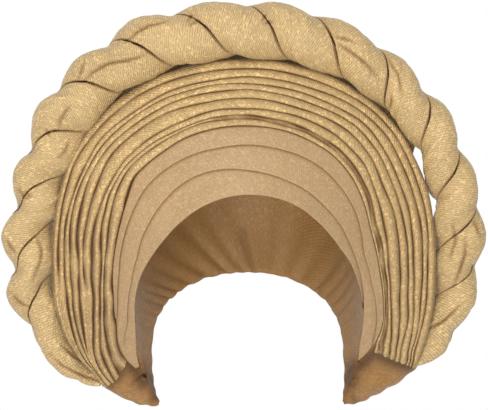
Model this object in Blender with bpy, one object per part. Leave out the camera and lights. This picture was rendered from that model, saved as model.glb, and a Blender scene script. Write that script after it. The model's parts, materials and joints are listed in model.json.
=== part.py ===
"""Tied gele head tie in its worn shape: cap, three front folds, pleated halo and a two-roll braid.

Metres, +Z up. The face looks along -Y. The origin is the inside of the crown, where the head rests.
"""

import math

import bmesh
import bpy
from mathutils import Vector

# The head that it fits. Every radius in the tables below is a share of HEAD_WIDTH.
HEAD_WIDTH = 0.155
HEAD_LENGTH = 0.195
CROWN_DROP = 0.105  # from the crown down to the head's widest level

# Cloth
CAP_WALL = 0.002
FOLD_THICKNESS = 0.0022  # one flat front fold, two layers
FOLD_STEP = 0.0030  # how far each fold's edge stands over the next fold in
HALO_WALL = 0.002
RIB_HEIGHT = 0.55  # share of the rib's own width
GAP = 0.0003  # between neighbouring pieces

# The ring that the folds, ribs and braid follow, seen from the front
RING_DROP = 0.957  # crown to ring centre, share of HEAD_WIDTH
FRONT_REACH = 0.498  # forehead edge in front of the head's centre, share of HEAD_LENGTH
REAR_REACH = 0.185  # lower ends behind the head's centre, share of HEAD_LENGTH
DEPTH_POWER = 1.8  # how late the edge turns back on its way down
SPAN = 120.0  # degrees from the top to the lower ends
FOLD_LEAN = 0.30  # metres back per metre outward over the folds
HALO_LEAN = 0.72  # the same over the pleats
LIP_BACK = 0.017  # the halo's rim turned back under the braid, at the top
LIP_OUT = 0.010
LIP_MIDDLE = 4.0  # degrees
LIP_SPAN = 52.0  # degrees to each side of its middle

STATION_STEP = 5.0  # degrees between sections of the halo and the folds
CAP_COLUMNS = 48  # along the cap's free edge
CAP_RINGS = 8
ROLL_STATIONS = 91
ROLL_SIDES = 9

# One row per section of the ring. Angles run clockwise from the top, in degrees. The columns
# after the angle are radii: the face edge, the three fold edges, eight grooves, the halo's rim.
COLUMNS = ("face", "fold_c", "fold_b", "fold_a",
           "g8", "g7", "g6", "g5", "g4", "g3", "g2", "g1", "rim")
RING = (
    (-122, 0.576, 0.592, 0.594, 0.596, 0.668, 0.711, 0.729, 0.738, 0.743, 0.747, 0.751, 0.754, 0.759),
    (-115, 0.553, 0.607, 0.611, 0.615, 0.675, 0.707, 0.741, 0.750, 0.756, 0.763, 0.769, 0.774, 0.779),
    (-110, 0.534, 0.594, 0.615, 0.620, 0.668, 0.702, 0.736, 0.752, 0.760, 0.772, 0.790, 0.797, 0.806),
    (-100, 0.513, 0.549, 0.597, 0.603, 0.653, 0.673, 0.705, 0.729, 0.754, 0.781, 0.806, 0.826, 0.847),
    (-90, 0.504, 0.535, 0.584, 0.601, 0.642, 0.662, 0.693, 0.725, 0.755, 0.788, 0.815, 0.845, 0.872),
    (-80, 0.493, 0.527, 0.587, 0.614, 0.650, 0.667, 0.709, 0.747, 0.768, 0.808, 0.835, 0.865, 0.894),
    (-70, 0.478, 0.529, 0.605, 0.632, 0.673, 0.695, 0.738, 0.781, 0.813, 0.849, 0.872, 0.901, 0.930),
    (-60, 0.465, 0.546, 0.628, 0.659, 0.711, 0.745, 0.775, 0.817, 0.856, 0.892, 0.912, 0.944, 0.973),
    (-50, 0.459, 0.562, 0.655, 0.700, 0.761, 0.786, 0.806, 0.860, 0.903, 0.930, 0.948, 0.995, 1.023),
    (-40, 0.459, 0.580, 0.682, 0.751, 0.795, 0.813, 0.833, 0.896, 0.928, 0.958, 0.978, 1.022, 1.059),
    (-30, 0.463, 0.596, 0.693, 0.763, 0.802, 0.820, 0.845, 0.905, 0.938, 0.970, 0.987, 1.037, 1.077),
    (-20, 0.467, 0.603, 0.697, 0.778, 0.812, 0.826, 0.851, 0.912, 0.946, 0.976, 0.996, 1.044, 1.084),
    (-10, 0.471, 0.597, 0.695, 0.782, 0.817, 0.831, 0.863, 0.905, 0.944, 0.978, 0.998, 1.041, 1.084),
    (0, 0.474, 0.584, 0.697, 0.781, 0.816, 0.826, 0.858, 0.905, 0.944, 0.971, 0.998, 1.040, 1.084),
    (10, 0.476, 0.574, 0.694, 0.779, 0.806, 0.816, 0.853, 0.896, 0.935, 0.966, 0.994, 1.036, 1.082),
    (20, 0.478, 0.565, 0.691, 0.770, 0.796, 0.807, 0.851, 0.892, 0.927, 0.958, 0.994, 1.031, 1.076),
    (30, 0.478, 0.558, 0.680, 0.756, 0.780, 0.792, 0.835, 0.882, 0.921, 0.955, 0.991, 1.025, 1.059),
    (40, 0.474, 0.546, 0.657, 0.725, 0.751, 0.762, 0.804, 0.849, 0.890, 0.926, 0.968, 1.000, 1.034),
    (50, 0.474, 0.539, 0.630, 0.682, 0.705, 0.716, 0.751, 0.795, 0.842, 0.876, 0.919, 0.955, 0.989),
    (60, 0.478, 0.528, 0.593, 0.639, 0.658, 0.669, 0.705, 0.761, 0.800, 0.834, 0.876, 0.910, 0.946),
    (70, 0.493, 0.523, 0.565, 0.619, 0.636, 0.647, 0.673, 0.725, 0.765, 0.793, 0.840, 0.869, 0.898),
    (80, 0.505, 0.523, 0.565, 0.610, 0.623, 0.632, 0.650, 0.702, 0.736, 0.765, 0.804, 0.829, 0.865),
    (90, 0.518, 0.526, 0.579, 0.614, 0.625, 0.633, 0.648, 0.689, 0.725, 0.752, 0.789, 0.810, 0.847),
    (100, 0.530, 0.534, 0.596, 0.623, 0.633, 0.641, 0.664, 0.700, 0.736, 0.762, 0.784, 0.799, 0.834),
    (110, 0.543, 0.546, 0.602, 0.611, 0.630, 0.644, 0.682, 0.711, 0.736, 0.767, 0.784, 0.798, 0.824),
    (119, 0.574, 0.575, 0.577, 0.579, 0.614, 0.637, 0.682, 0.709, 0.736, 0.763, 0.781, 0.795, 0.813),
)

# Where each piece of the ring starts and ends, in degrees
HALO_ENDS = (-121.0, 111.0)
FOLD_ENDS = {"inner": (-120.5, 91.0), "middle": (-110.5, 117.0), "outer": (-98.0, 106.0)}

# The braid, one row per crease: half turns of the twist, angle, centre radius, rope radius
# (shares of HEAD_WIDTH) and how far the centre sits behind the halo's rim, in rope radii.
BRAID = (
    (-0.34, -119.5, 0.768, 0.022, 2.60),
    (-0.22, -112.0, 0.829, 0.078, 1.30),
    (0, -97.2, 0.911, 0.108, 1.12),
    (1, -82.6, 0.989, 0.122, 0.82),
    (2, -68.1, 1.046, 0.127, 0.72),
    (3, -55.3, 1.112, 0.124, 0.54),
    (4, -42.5, 1.184, 0.125, -0.05),
    (5, -29.4, 1.217, 0.134, -0.10),
    (6, -15.6, 1.226, 0.134, -0.10),
    (7, -1.4, 1.219, 0.130, -0.10),
    (8, 11.5, 1.214, 0.127, -0.10),
    (9, 25.4, 1.197, 0.122, -0.10),
    (10, 38.0, 1.171, 0.115, -0.04),
    (11, 51.6, 1.115, 0.112, 0.12),
    (12, 64.8, 1.049, 0.115, 0.40),
    (13, 78.6, 0.979, 0.118, 0.69),
    (14, 95.5, 0.900, 0.098, 1.11),
    (14.18, 105.4, 0.847, 0.070, 1.46),
    (14.25, 111.5, 0.817, 0.022, 2.20),
)
ROLL_HALF_DEPTH = 0.48  # of one roll's section toward the other roll, in rope radii
ROLL_HALF_WIDTH = 0.75  # across it
ROLL_SQUARENESS = 2.3
ROLL_LEAN = 0.27  # clockwise per metre outward at the top, so the creases slant
ROLL_LEAN_RISE = 0.0026  # more of it per degree

# The cap's free edge, left to right: along the pointed left corner, up and over the open back
# and down to the right corner. Across, back and down, as shares of HEAD_WIDTH, HEAD_LENGTH
# and HEAD_WIDTH.
NAPE = (
    (-0.655, 0.345, 1.346),
    (-0.611, 0.350, 1.377),
    (-0.543, 0.345, 1.412),
    (-0.483, 0.330, 1.434),
    (-0.407, 0.315, 1.441),
    (-0.428, 0.300, 1.390),
    (-0.441, 0.288, 1.310),
    (-0.446, 0.280, 1.220),
    (-0.442, 0.283, 1.130),
    (-0.425, 0.300, 1.050),
    (-0.375, 0.350, 0.970),
    (-0.290, 0.418, 0.905),
    (-0.190, 0.470, 0.862),
    (-0.090, 0.498, 0.842),
    (0.0, 0.504, 0.838),
    (0.090, 0.498, 0.842),
    (0.190, 0.470, 0.862),
    (0.290, 0.418, 0.905),
    (0.375, 0.350, 0.970),
    (0.425, 0.300, 1.050),
    (0.446, 0.280, 1.130),
    (0.452, 0.273, 1.220),
    (0.456, 0.275, 1.310),
    (0.452, 0.285, 1.380),
    (0.444, 0.300, 1.434),
    (0.510, 0.320, 1.425),
    (0.585, 0.333, 1.388),
    (0.677, 0.340, 1.339),
    (0.742, 0.335, 1.283),
)
CAP_EDGE_ENDS = (-119.5, 109.5)
# Where a line over the cap starts on the face edge, for its place along the free edge
CAP_LINES = (
    (0.0, -119.5),
    (0.17, -106.0),
    (0.33, -78.0),
    (0.5, -3.0),
    (0.67, 72.0),
    (0.83, 97.0),
    (1.0, 109.5),
)
CROWN_PULL = 1.2  # how much those lines keep to the crown where they go right over it

CENTRE = Vector((0.0, 0.0, -CROWN_DROP))
CAP_SEMI = (HEAD_WIDTH / 2 + CAP_WALL, HEAD_LENGTH / 2 + CAP_WALL, CROWN_DROP + CAP_WALL)


def smooth(rows, key, at):
    """The row's values at this key, by a curve through the rows that doesn't overshoot much."""
    keys = [row[key] for row in rows]
    at = min(max(at, keys[0]), keys[-1])
    i = max(k for k in range(len(keys) - 1) if keys[k] <= at)
    t = (at - keys[i]) / (keys[i + 1] - keys[i])
    a, b, c, d = (rows[min(max(k, 0), len(rows) - 1)] for k in (i - 1, i, i + 1, i + 2))

    def slope(p, q, r, kp, kq, kr):
        if kq == kp or kr == kq:
            return (r - p) / (kr - kp)
        left, right = (q - p) / (kq - kp), (r - q) / (kr - kq)
        return 0.0 if left * right <= 0 else 2 * left * right / (left + right)

    out = []
    for p, q, r, s in zip(a, b, c, d):
        step = c[key] - b[key]
        m0 = slope(p, q, r, a[key], b[key], c[key]) * step
        m1 = slope(q, r, s, b[key], c[key], d[key]) * step
        out.append((2 * t**3 - 3 * t**2 + 1) * q + (t**3 - 2 * t**2 + t) * m0
                   + (3 * t**2 - 2 * t**3) * r + (t**3 - t**2) * m1)
    return out


def ring_row(angle):
    """The ring's radii at this angle, in metres, by column name."""
    values = smooth(RING, 0, angle)[1:]
    return {name: HEAD_WIDTH * value for name, value in zip(COLUMNS, values)}


def face_depth(angle):
    reach = (FRONT_REACH + REAR_REACH) * min(abs(angle) / SPAN, 1.05) ** DEPTH_POWER
    return HEAD_LENGTH * (reach - FRONT_REACH)


def base_depth(angle, row, radius):
    """The surface that the folds and ribs stand on."""
    inner = min(radius, row["fold_a"]) - row["face"]
    outer = max(radius - row["fold_a"], 0.0)
    return face_depth(angle) + FOLD_LEAN * inner + HALO_LEAN * outer


def ring_point(angle, radius, depth):
    turn = math.radians(angle)
    return Vector((radius * math.sin(turn), depth,
                   radius * math.cos(turn) - RING_DROP * HEAD_WIDTH))


def cap_reach(direction):
    """From the head's centre to the cap's outer face: a dome above, straight walls below."""
    across, along, up = (d / s for d, s in zip(direction, CAP_SEMI))
    return 1 / math.sqrt(across**2 + along**2 + (up**2 if up > 0 else 0.0))


def cap_radius(angle, depth):
    """The ring radius where the cap's outer face passes, at this angle and depth."""
    low, high = 0.0, 2 * HEAD_WIDTH
    for _ in range(40):
        middle = (low + high) / 2
        offset = ring_point(angle, middle, depth) - CENTRE
        inside = offset.length < cap_reach(offset.normalized())
        low, high = (middle, high) if inside else (low, middle)
    return low


def new_object(name, mesh, colour, roughness):
    mesh.normal_update()
    data = bpy.data.meshes.new(name)
    mesh.to_mesh(data)
    mesh.free()
    material = bpy.data.materials.new(name)
    material.use_nodes = True
    shader = material.node_tree.nodes["Principled BSDF"]
    shader.inputs["Base Color"].default_value = (*colour, 1.0)
    shader.inputs["Roughness"].default_value = roughness
    material.diffuse_color = (*colour, 1.0)
    data.materials.append(material)
    piece = bpy.data.objects.new(name, data)
    gele.objects.link(piece)
    return piece


def swept(sections, mirror_split=None):
    """A closed tube through sections of equal length. Below mirror_split the diagonals turn round."""
    mesh = bmesh.new()
    rings = [[mesh.verts.new(point) for point in section] for section in sections]
    count = len(rings[0])
    for near, far in zip(rings, rings[1:]):
        for j in range(count):
            k = (j + 1) % count
            a, b, c, d = near[j], near[k], far[k], far[j]
            if mirror_split is not None and j < mirror_split:
                mesh.faces.new((a, b, c))
                mesh.faces.new((a, c, d))
            else:
                mesh.faces.new((a, b, d))
                mesh.faces.new((b, c, d))
    mesh.faces.new(rings[0][::-1])
    mesh.faces.new(rings[-1])
    if mesh.calc_volume(signed=True) < 0:
        bmesh.ops.reverse_faces(mesh, faces=mesh.faces)
    return mesh


def spread(ends, count):
    return [ends[0] + (ends[1] - ends[0]) * i / (count - 1) for i in range(count)]


def stations(ends):
    """Angles that neighbouring pieces share, so that their facets follow each other."""
    first, last = math.ceil(ends[0] / STATION_STEP + 0.2), math.floor(ends[1] / STATION_STEP - 0.2)
    return [ends[0], *(STATION_STEP * i for i in range(first, last + 1)), ends[1]]


def fold_section(angle, row, inner, outer, cover):
    """One flat fold between two ring lines, tucked under its neighbour as far as `cover` allows."""
    start, end = row[inner], row[outer]
    width = max(end - start, 2 * GAP)
    tuck = 0.0 if cover is None else 0.5 * max(row[cover] - end, 0.0)
    tuck = min(tuck, 2 * FOLD_THICKNESS)
    points = []
    for share, lift in ((0.0, 0.55), (0.06, 0.95), (0.5, 0.5), (1.0, 0.0)):
        radius = start + share * width
        points.append((radius, -lift * FOLD_STEP))
    if cover is not None:
        over = max(row[cover] - end, GAP)
        points.append((end + tuck, FOLD_STEP * tuck / over))
    else:
        points[-1] = (end - GAP, 0.0)
    back = [(radius, lift + FOLD_THICKNESS) for radius, lift in points[:0:-1]]
    front = [(radius, lift) for radius, lift in points]
    ring = front + back[:-1] + [(start, -0.6 * (FOLD_STEP - FOLD_THICKNESS))]
    return [ring_point(angle, r, base_depth(angle, row, r) + lift) for r, lift in ring]


def halo_section(angle):
    """Foot on the cap, then the ribs out to the rim, then the lip and the plain back."""
    row = ring_row(angle)
    grooves = [row["fold_a"] + GAP] + [row[name] for name in COLUMNS[4:]]
    foot_front = FOLD_THICKNESS + 0.5 * FOLD_STEP + GAP
    start = grooves[0]
    front = []
    foot_depth = base_depth(angle, row, start) + foot_front + 0.035 * HEAD_LENGTH
    short = max(0.0, min(1.0, (abs(angle) - 95.0) / 10.0))
    foot = []
    for depth in (foot_depth, foot_depth + HALO_WALL):
        radius = min(cap_radius(angle, depth) + 3 * GAP, start - HALO_WALL)
        foot.append(radius + short * (start - HALO_WALL - radius))
    front.append((foot[0], foot_depth))
    front.append((start, base_depth(angle, row, start) + foot_front))
    for inner, outer in zip(grooves, grooves[1:]):
        width = outer - inner
        for share, lift in ((0.0, 0.1), (0.2, 0.8), (0.5, 1.0), (0.82, 0.75)):
            radius = inner + share * width
            height = lift * RIB_HEIGHT * min(width, 0.05 * HEAD_WIDTH)
            front.append((radius, base_depth(angle, row, radius) - height))
    rim, rim_depth = row["rim"], base_depth(angle, row, row["rim"])
    front.append((rim, rim_depth))
    top = max(0.0, min(1.0, (LIP_SPAN - abs(angle - LIP_MIDDLE)) / 10.0))
    back_by = HALO_WALL + top * LIP_BACK
    out = LIP_OUT * max(0.0, (top - 0.75) / 0.25)
    front.append((rim, rim_depth + back_by))
    front.append((rim + out + GAP, rim_depth + back_by + GAP))
    back = [(rim + out, rim_depth + back_by + HALO_WALL),
            (rim - HALO_WALL, rim_depth + back_by + 0.5 * HALO_WALL)]
    for share in (0.94, 0.7, 0.4, 0.12):
        radius = start + share * (rim - start)
        back.append((radius, base_depth(angle, row, radius) + HALO_WALL))
    back.append((foot[1], foot_depth + HALO_WALL))
    return [ring_point(angle, r, depth) for r, depth in front + back]


def roll_section(spot, side):
    """One roll of the rope: a rounded half of the rope's circle, turned by the twist."""
    turns, angle, centre, radius, behind = spot
    centre, radius = centre * HEAD_WIDTH, radius * HEAD_WIDTH
    row = ring_row(angle)
    depth = base_depth(angle, row, row["rim"]) + behind * radius
    twist = math.pi * (turns + 0.5 * side)
    outward = Vector((math.sin(math.radians(angle)), 0.0, math.cos(math.radians(angle))))
    forward = Vector((0.0, -1.0, 0.0))
    clockwise = Vector((outward.z, 0.0, -outward.x))
    leant = outward + clockwise * (ROLL_LEAN + ROLL_LEAN_RISE * angle)
    toward = leant * math.cos(twist) + forward * math.sin(twist)
    across = forward * math.cos(twist) - leant * math.sin(twist)
    middle = ring_point(angle, centre, depth)
    points = []
    for i in range(ROLL_SIDES):
        turn = 2 * math.pi * (i + 0.5) / ROLL_SIDES
        c, s = math.cos(turn), math.sin(turn)
        bulge = (abs(c) ** ROLL_SQUARENESS + abs(s) ** ROLL_SQUARENESS) ** (-1 / ROLL_SQUARENESS)
        reach = GAP + radius * ROLL_HALF_DEPTH * (1 + c * bulge)
        points.append(middle + toward * reach + across * (radius * ROLL_HALF_WIDTH * s * bulge))
    return points


def braid_spot(angle):
    return smooth(BRAID, 1, angle)


def cap_corner(angle):
    """Two points along the end of the halo, just behind it, from the face outward."""
    row = ring_row(angle)
    behind = FOLD_THICKNESS + 2 * HALO_WALL + 2 * GAP
    points = []
    for share in (0.3, 0.6):
        radius = row["face"] + share * (row["rim"] - row["face"])
        points.append(ring_point(angle, radius, base_depth(angle, row, radius) + behind))
    return points


def resampled(line, count):
    """Points evenly along a line, its ends among them."""
    lengths = [0.0]
    for a, b in zip(line, line[1:]):
        lengths.append(lengths[-1] + (b - a).length)
    points = []
    for i in range(count + 1):
        at = lengths[-1] * i / count
        k = min(max(j for j in range(len(line)) if lengths[j] <= at + 1e-9), len(line) - 2)
        t = (at - lengths[k]) / (lengths[k + 1] - lengths[k])
        points.append(line[k].lerp(line[k + 1], t))
    return points


def cap_line(share, free):
    """Over the head from the face edge to a point of the free edge: outer and inner face."""
    angle = smooth(CAP_LINES, 0, share)[1]
    depth = face_depth(angle) + FOLD_THICKNESS + GAP
    start = ring_point(angle, cap_radius(angle, depth), depth) - CENTRE
    end = free - CENTRE
    turn = math.radians(0.8 * angle)
    near, far = start.normalized(), end.normalized()
    pull = CROWN_PULL * (1 - near.dot(far)) / 2
    crown = (near + far + pull * Vector((math.sin(turn), 0.0, math.cos(turn)))).normalized()
    stretch = (start.length / cap_reach(near), end.length / cap_reach(far))
    outer, inner = [], []
    for ring in range(CAP_RINGS + 1):
        t = ring / CAP_RINGS
        direction = (near * (1 - t) ** 2 + crown * (2 * t * (1 - t)) + far * t**2).normalized()
        blend = t * t * (3 - 2 * t)
        reach = cap_reach(direction) * (stretch[0] + blend * (stretch[1] - stretch[0]))
        outer.append(CENTRE + direction * reach)
        inner.append(CENTRE + direction * (reach - CAP_WALL))
    return outer, inner


def make_cap():
    nape = [Vector((x * HEAD_WIDTH, y * HEAD_LENGTH, -z * HEAD_WIDTH)) for x, y, z in NAPE]
    free = cap_corner(CAP_EDGE_ENDS[0]) + nape + cap_corner(CAP_EDGE_ENDS[1])[::-1]
    free = resampled(free, CAP_COLUMNS)
    loops = []
    for i, point in enumerate(free):
        outer, inner = cap_line(i / CAP_COLUMNS, point)
        loops.append(outer + inner[::-1])
    return new_object("head_cap", swept(loops), (0.36, 0.20, 0.09), 0.45)


for leftover in list(bpy.data.objects):
    bpy.data.objects.remove(leftover, do_unlink=True)
gele = bpy.data.collections.new("gele_head_tie")
bpy.context.scene.collection.children.link(gele)

make_cap()

for part, inner, outer, cover in (("inner", "face", "fold_c", "fold_b"),
                                  ("middle", "fold_c", "fold_b", "fold_a"),
                                  ("outer", "fold_b", "fold_a", None)):
    sections = [fold_section(angle, ring_row(angle), inner, outer, cover)
                for angle in stations(FOLD_ENDS[part])]
    new_object("front_fold_" + part, swept(sections), (0.60, 0.41, 0.25), 0.55)

halo = swept([halo_section(angle) for angle in stations(HALO_ENDS)])
new_object("pleated_halo", halo, (0.58, 0.38, 0.17), 0.4)

for letter, side in (("a", 1), ("b", -1)):
    spots = [braid_spot(angle) for angle in spread((BRAID[0][1], BRAID[-1][1]), ROLL_STATIONS)]
    roll = swept([roll_section(spot, side) for spot in spots], ROLL_SIDES // 2)
    new_object("braid_roll_" + letter, roll, (0.58, 0.38, 0.17), 0.4)

for piece in gele.objects:
    print(piece.name, len(piece.data.polygons), "faces")
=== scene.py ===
# %% [markdown]
# # A tied head wrap: cap, front folds, pleated halo and braid
#
# The real thing is one long cloth with a metallic thread, tied once and then sewn so that it
# keeps its form. Three smooth folds frame the face, a fan of rounded pleats stands up behind
# them, and two stuffed rolls twisted into a rope run along the rim. Here each of these is one
# piece of cloth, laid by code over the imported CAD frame.

import json
import math

import bmesh
import bpy
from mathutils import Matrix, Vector, noise

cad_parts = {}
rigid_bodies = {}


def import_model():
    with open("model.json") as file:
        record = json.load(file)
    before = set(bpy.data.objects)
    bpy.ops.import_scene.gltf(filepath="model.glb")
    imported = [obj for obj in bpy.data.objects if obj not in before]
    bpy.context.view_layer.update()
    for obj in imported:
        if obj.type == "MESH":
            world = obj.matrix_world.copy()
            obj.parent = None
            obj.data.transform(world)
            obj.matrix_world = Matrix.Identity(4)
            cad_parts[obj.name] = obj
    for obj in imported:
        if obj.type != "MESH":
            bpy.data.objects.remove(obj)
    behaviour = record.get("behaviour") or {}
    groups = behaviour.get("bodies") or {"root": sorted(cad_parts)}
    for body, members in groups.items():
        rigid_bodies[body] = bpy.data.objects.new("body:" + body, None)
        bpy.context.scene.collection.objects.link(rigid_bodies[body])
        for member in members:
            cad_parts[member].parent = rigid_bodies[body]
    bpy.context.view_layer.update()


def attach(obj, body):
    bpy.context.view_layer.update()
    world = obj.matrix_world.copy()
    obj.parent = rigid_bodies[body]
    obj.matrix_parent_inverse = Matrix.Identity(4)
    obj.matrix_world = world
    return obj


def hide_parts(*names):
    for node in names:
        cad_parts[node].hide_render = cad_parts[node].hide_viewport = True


for leftover in list(bpy.data.objects):
    bpy.data.objects.remove(leftover, do_unlink=True)
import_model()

# %% [markdown]
# ## Camera
#
# The photo is taken straight from the front and from far away, so the camera has a very long
# lens. 0.70 mm of the object is one pixel of the picture, which is 488 pixels wide.

# %% Camera
PIXEL = 0.00070
PICTURE_WIDTH = 488 * PIXEL
CAMERA_DISTANCE = 6.0
AIM = Vector((-0.0021, 0.0, -0.0819))

camera = bpy.data.objects.new("camera", bpy.data.cameras.new("camera"))
bpy.context.scene.collection.objects.link(camera)
camera.data.lens = camera.data.sensor_width * CAMERA_DISTANCE / PICTURE_WIDTH
camera.data.clip_end = 100
camera.location = AIM - Vector((0, CAMERA_DISTANCE, 0))
camera.rotation_euler = (math.pi / 2, 0, 0)
bpy.context.scene.camera = camera
print("lens, mm:", round(camera.data.lens))

# %% [markdown]
# ## The ring that everything follows
#
# Seen from the front, the folds, the pleats and the braid all run round one ring. A table says
# how far each fold edge and each groove is from the ring's centre, every ten degrees, as a
# share of the head's width. It's the same table as in the CAD source. A smooth curve through
# the rows gives the radii at any angle, and a second rule gives the depth: the face edge turns
# back on its way down, and the cloth leans back further out.

# %% Sizes and the ring table
HEAD_WIDTH = 0.155
HEAD_LENGTH = 0.195
CROWN_DROP = 0.105
CAP_WALL = 0.002
FOLD_THICKNESS = 0.0022
FOLD_STEP = 0.0023
HALO_WALL = 0.002
RIB_HEIGHT = 0.55
GAP = 0.0003
RING_DROP = 0.957
FRONT_REACH = 0.498
REAR_REACH = 0.185
DEPTH_POWER = 1.8
SPAN = 120.0
FOLD_LEAN = 0.30
HALO_LEAN = 0.72

COLUMNS = ("face", "fold_c", "fold_b", "fold_a",
           "g8", "g7", "g6", "g5", "g4", "g3", "g2", "g1", "rim")
RING = (
    (-122, 0.576, 0.592, 0.594, 0.596, 0.668, 0.711, 0.729, 0.738, 0.743, 0.747, 0.751, 0.754, 0.759),
    (-115, 0.553, 0.607, 0.611, 0.615, 0.675, 0.707, 0.741, 0.750, 0.756, 0.763, 0.769, 0.774, 0.779),
    (-110, 0.534, 0.594, 0.615, 0.620, 0.668, 0.702, 0.736, 0.752, 0.760, 0.772, 0.790, 0.797, 0.806),
    (-100, 0.513, 0.549, 0.597, 0.603, 0.653, 0.673, 0.705, 0.729, 0.754, 0.781, 0.806, 0.826, 0.847),
    (-90, 0.504, 0.535, 0.584, 0.601, 0.642, 0.662, 0.693, 0.725, 0.755, 0.788, 0.815, 0.845, 0.872),
    (-80, 0.493, 0.527, 0.587, 0.614, 0.650, 0.667, 0.709, 0.747, 0.768, 0.808, 0.835, 0.865, 0.894),
    (-70, 0.478, 0.529, 0.605, 0.632, 0.673, 0.695, 0.738, 0.781, 0.813, 0.849, 0.872, 0.901, 0.930),
    (-60, 0.465, 0.546, 0.628, 0.659, 0.711, 0.745, 0.775, 0.817, 0.856, 0.892, 0.912, 0.944, 0.973),
    (-50, 0.459, 0.562, 0.655, 0.700, 0.761, 0.786, 0.806, 0.860, 0.903, 0.930, 0.948, 0.995, 1.023),
    (-40, 0.459, 0.580, 0.682, 0.751, 0.795, 0.813, 0.833, 0.896, 0.928, 0.958, 0.978, 1.022, 1.059),
    (-30, 0.463, 0.596, 0.693, 0.763, 0.802, 0.820, 0.845, 0.905, 0.938, 0.970, 0.987, 1.037, 1.077),
    (-20, 0.467, 0.603, 0.697, 0.778, 0.812, 0.826, 0.851, 0.912, 0.946, 0.976, 0.996, 1.044, 1.084),
    (-10, 0.471, 0.597, 0.695, 0.782, 0.817, 0.831, 0.863, 0.905, 0.944, 0.978, 0.998, 1.041, 1.084),
    (0, 0.474, 0.584, 0.697, 0.781, 0.816, 0.826, 0.858, 0.905, 0.944, 0.971, 0.998, 1.040, 1.084),
    (10, 0.476, 0.574, 0.694, 0.779, 0.806, 0.816, 0.853, 0.896, 0.935, 0.966, 0.994, 1.036, 1.082),
    (20, 0.478, 0.565, 0.691, 0.770, 0.796, 0.807, 0.851, 0.892, 0.927, 0.958, 0.994, 1.031, 1.076),
    (30, 0.478, 0.558, 0.680, 0.756, 0.780, 0.792, 0.835, 0.882, 0.921, 0.955, 0.991, 1.025, 1.059),
    (40, 0.474, 0.546, 0.657, 0.725, 0.751, 0.762, 0.804, 0.849, 0.890, 0.926, 0.968, 1.000, 1.034),
    (50, 0.474, 0.539, 0.630, 0.682, 0.705, 0.716, 0.751, 0.795, 0.842, 0.876, 0.919, 0.955, 0.989),
    (60, 0.478, 0.528, 0.593, 0.639, 0.658, 0.669, 0.705, 0.761, 0.800, 0.834, 0.876, 0.910, 0.946),
    (70, 0.493, 0.523, 0.565, 0.619, 0.636, 0.647, 0.673, 0.725, 0.765, 0.793, 0.840, 0.869, 0.898),
    (80, 0.505, 0.523, 0.565, 0.610, 0.623, 0.632, 0.650, 0.702, 0.736, 0.765, 0.804, 0.829, 0.865),
    (90, 0.518, 0.526, 0.579, 0.614, 0.625, 0.633, 0.648, 0.689, 0.725, 0.752, 0.789, 0.810, 0.847),
    (100, 0.530, 0.534, 0.596, 0.623, 0.633, 0.641, 0.664, 0.700, 0.736, 0.762, 0.784, 0.799, 0.834),
    (110, 0.543, 0.546, 0.602, 0.611, 0.630, 0.644, 0.682, 0.711, 0.736, 0.767, 0.784, 0.798, 0.824),
    (119, 0.574, 0.575, 0.577, 0.579, 0.614, 0.637, 0.682, 0.709, 0.736, 0.763, 0.781, 0.795, 0.813),
)


def smooth(rows, key, at):
    """The row's values at this key, by a curve through the rows that doesn't overshoot much."""
    keys = [row[key] for row in rows]
    at = min(max(at, keys[0]), keys[-1])
    i = max(k for k in range(len(keys) - 1) if keys[k] <= at)
    t = (at - keys[i]) / (keys[i + 1] - keys[i])
    a, b, c, d = (rows[min(max(k, 0), len(rows) - 1)] for k in (i - 1, i, i + 1, i + 2))

    def slope(p, q, r, kp, kq, kr):
        if kq == kp or kr == kq:
            return (r - p) / (kr - kp)
        left, right = (q - p) / (kq - kp), (r - q) / (kr - kq)
        return 0.0 if left * right <= 0 else 2 * left * right / (left + right)

    out = []
    for p, q, r, s in zip(a, b, c, d):
        step = c[key] - b[key]
        m0 = slope(p, q, r, a[key], b[key], c[key]) * step
        m1 = slope(q, r, s, b[key], c[key], d[key]) * step
        out.append((2 * t**3 - 3 * t**2 + 1) * q + (t**3 - 2 * t**2 + t) * m0
                   + (3 * t**2 - 2 * t**3) * r + (t**3 - t**2) * m1)
    return out


def ring_row(angle):
    values = smooth(RING, 0, angle)[1:]
    return {name: HEAD_WIDTH * value for name, value in zip(COLUMNS, values)}


def face_depth(angle):
    reach = (FRONT_REACH + REAR_REACH) * min(abs(angle) / SPAN, 1.05) ** DEPTH_POWER
    return HEAD_LENGTH * (reach - FRONT_REACH)


def base_depth(angle, row, radius):
    inner = min(radius, row["fold_a"]) - row["face"]
    outer = max(radius - row["fold_a"], 0.0)
    return face_depth(angle) + FOLD_LEAN * inner + HALO_LEAN * outer


def ring_point(angle, radius, depth):
    turn = math.radians(angle)
    return Vector((radius * math.sin(turn), depth,
                   radius * math.cos(turn) - RING_DROP * HEAD_WIDTH))


def polar(point):
    up = point.z + RING_DROP * HEAD_WIDTH
    return math.degrees(math.atan2(point.x, up)), math.hypot(point.x, up)


def ramp(low, high, value):
    """0 below low, 1 above high and a smooth step between. It falls instead where low > high."""
    t = min(max((value - low) / (high - low), 0.0), 1.0)
    return t * t * (3 - 2 * t)


def spread(ends, step):
    count = max(2, round((ends[1] - ends[0]) / step))
    return [ends[0] + (ends[1] - ends[0]) * i / count for i in range(count + 1)]


def drift(seed, *place):
    """Slow, repeatable unevenness between about -1 and 1, as hand work has."""
    x, y = place if len(place) == 2 else (place[0], 3.1 * seed)
    return 2 * noise.noise(Vector((x, y, 7.3 * seed + 0.5)))


print("ring rows:", len(RING), "from", RING[0][0], "to", RING[-1][0], "degrees")
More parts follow.
